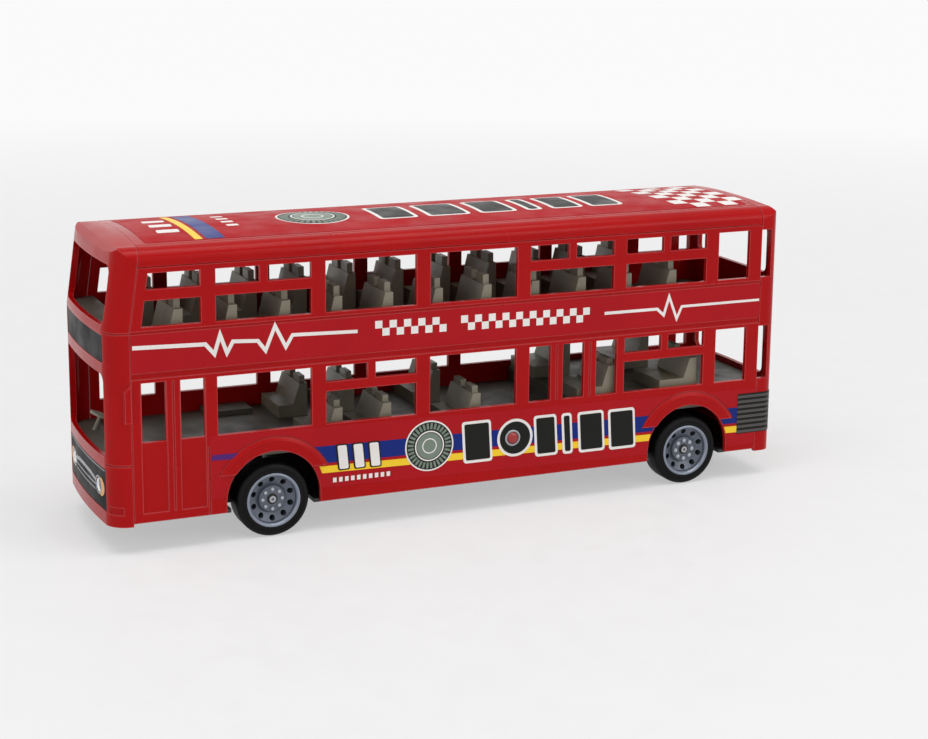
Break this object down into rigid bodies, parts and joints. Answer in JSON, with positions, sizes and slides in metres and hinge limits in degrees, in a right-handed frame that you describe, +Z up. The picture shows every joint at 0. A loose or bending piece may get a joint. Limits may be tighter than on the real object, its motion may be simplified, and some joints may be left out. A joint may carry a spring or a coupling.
{
  "type": "toy double decker bus",
  "caption": "Toy double decker bus in moulded plastic, open windows on both decks with seats inside, doors on one side, dished wheels that roll on steel axles.",
  "frame": {"origin": "on the ground, midway along and across the bus", "axes": "+X to the front, +Y to the side with the doors, +Z up"},
  "size_m": [0.28, 0.0702, 0.114],
  "materials": {
    "body_plastic": "glossy red",
    "dark_panel": "glossy dark grey",
    "clear_lamp": "glossy white",
    "red_lamp": "glossy deep red",
    "button_plastic": "glossy red",
    "deck_plastic": "olive grey, matt",
    "base_plastic": "black, matt",
    "axle_steel": "drawn steel",
    "hub_plastic": "blue grey, satin",
    "tyre_rubber": "black, satin"
  },
  "bodies": {
    "body": {"body_side_left": "body_plastic", "body_side_right": "body_plastic", "roof": "body_plastic", "front_cap": "body_plastic", "rear_cap": "body_plastic", "sign_panel": "dark_panel", "grille_panel": "dark_panel", "headlamp_left": "clear_lamp", "headlamp_right": "clear_lamp", "tail_lamp_left": "red_lamp", "tail_lamp_right": "red_lamp", "button_ring": "dark_panel", "push_button": "button_plastic", "lower_deck": "deck_plastic", "upper_deck": "deck_plastic", "lower_seats": "deck_plastic", "upper_seats": "deck_plastic", "steering_wheel": "deck_plastic", "base_plate": "base_plastic", "battery_cover": "base_plastic"},
    "front_wheels": {"front_axle": "axle_steel", "hub_front_left": "hub_plastic", "tyre_front_left": "tyre_rubber", "hub_front_right": "hub_plastic", "tyre_front_right": "tyre_rubber"},
    "rear_wheels": {"rear_axle": "axle_steel", "hub_rear_left": "hub_plastic", "tyre_rear_left": "tyre_rubber", "hub_rear_right": "hub_plastic", "tyre_rear_right": "tyre_rubber"}
  },
  "joints": [
    {"name": "front_axle_spin", "type": "hinge", "parent": "body", "child": "front_wheels", "pos_m": [0.077, 0, 0.0141], "axis": [0, 1, 0], "continuous": true},
    {"name": "rear_axle_spin", "type": "hinge", "parent": "body", "child": "rear_wheels", "pos_m": [-0.099, 0, 0.0141], "axis": [0, 1, 0], "continuous": true}
  ]
}
